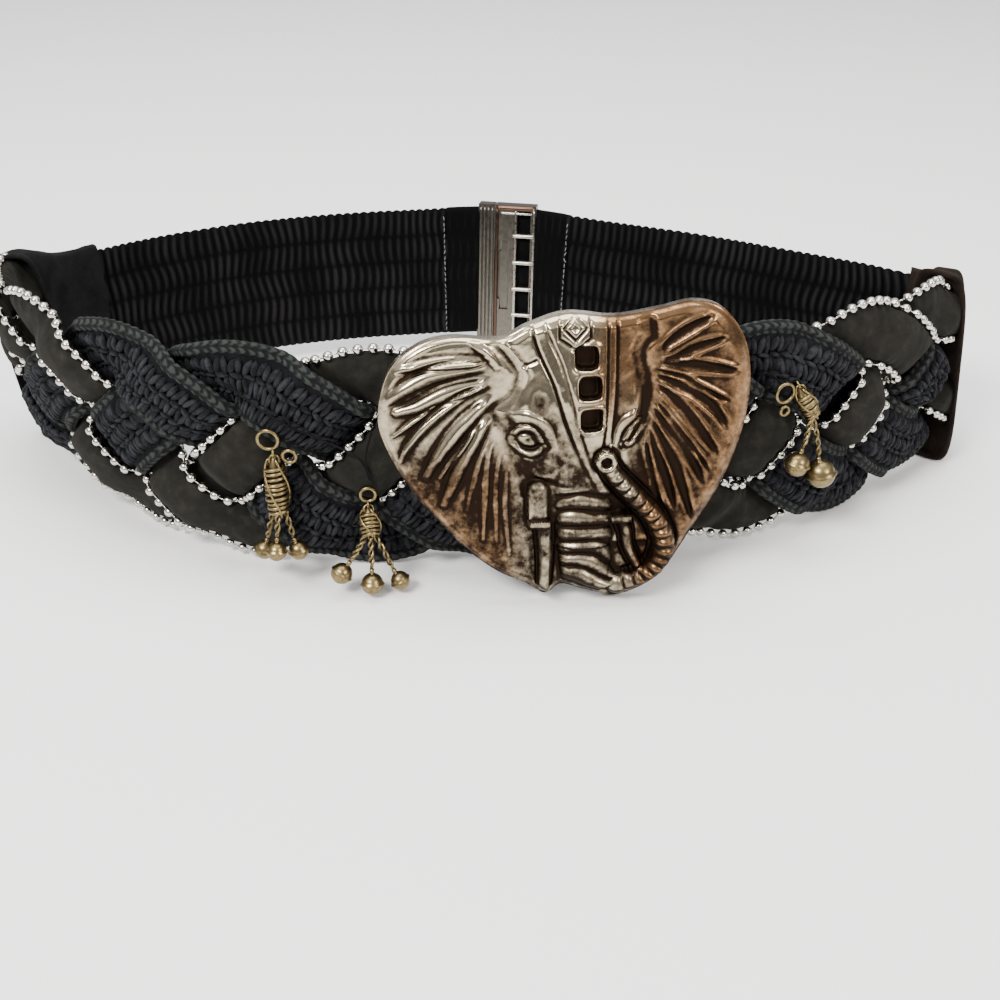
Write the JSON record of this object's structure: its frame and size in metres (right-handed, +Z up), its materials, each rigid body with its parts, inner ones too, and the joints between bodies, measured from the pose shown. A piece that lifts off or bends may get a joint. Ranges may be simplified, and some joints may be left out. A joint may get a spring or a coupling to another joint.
{
  "type": "braided fabric belt",
  "caption": "Flat braid belt of suede and crochet strands edged with ball chain, with a cast elephant medallion, bell charms, ribbed elastic and a metal clasp, fastened in a loop.",
  "frame": {"origin": "under the middle of the belt, on the surface it stands on", "axes": "+X along the belt's longest side, to the right seen from the front; -Y faces the front with the medallion; +Z up"},
  "size_m": [0.3092, 0.1746, 0.0809],
  "materials": {
    "suede": "matte nap",
    "crochet_yarn": "thick matte yarn",
    "ball_chain": "polished",
    "cap_fabric": "matte knit",
    "elastic_fabric": "shirred and ribbed",
    "clasp_metal": "polished, dulled by wear",
    "pewter": "polished high points over dark brown patina",
    "antique_brass": "antique"
  },
  "bodies": {
    "root": {"suede_strand_1": "suede", "suede_strand_2": "suede", "crochet_strand_1": "crochet_yarn", "crochet_strand_2": "crochet_yarn", "ball_chain_1_upper": "ball_chain", "ball_chain_1_lower": "ball_chain", "ball_chain_2_upper": "ball_chain", "ball_chain_2_lower": "ball_chain", "end_cap_left": "cap_fabric", "end_cap_right": "cap_fabric", "elastic_left": "elastic_fabric", "elastic_right": "elastic_fabric", "clasp_plate": "clasp_metal", "clasp_frame": "clasp_metal", "elephant_medallion": "pewter", "medallion_post": "pewter", "charm_1_ring_1": "antique_brass", "charm_1_ring_2": "antique_brass", "charm_1_stem": "antique_brass", "charm_1_bell_1": "antique_brass", "charm_1_bell_2": "antique_brass", "charm_1_bell_3": "antique_brass", "charm_2_ring_1": "antique_brass", "charm_2_stem": "antique_brass", "charm_2_bell_1": "antique_brass", "charm_2_bell_2": "antique_brass", "charm_2_bell_3": "antique_brass", "charm_3_ring_1": "antique_brass", "charm_3_ring_2": "antique_brass", "charm_3_stem": "antique_brass", "charm_3_bell_1": "antique_brass", "charm_3_bell_2": "antique_brass"}
  },
  "joints": []
}
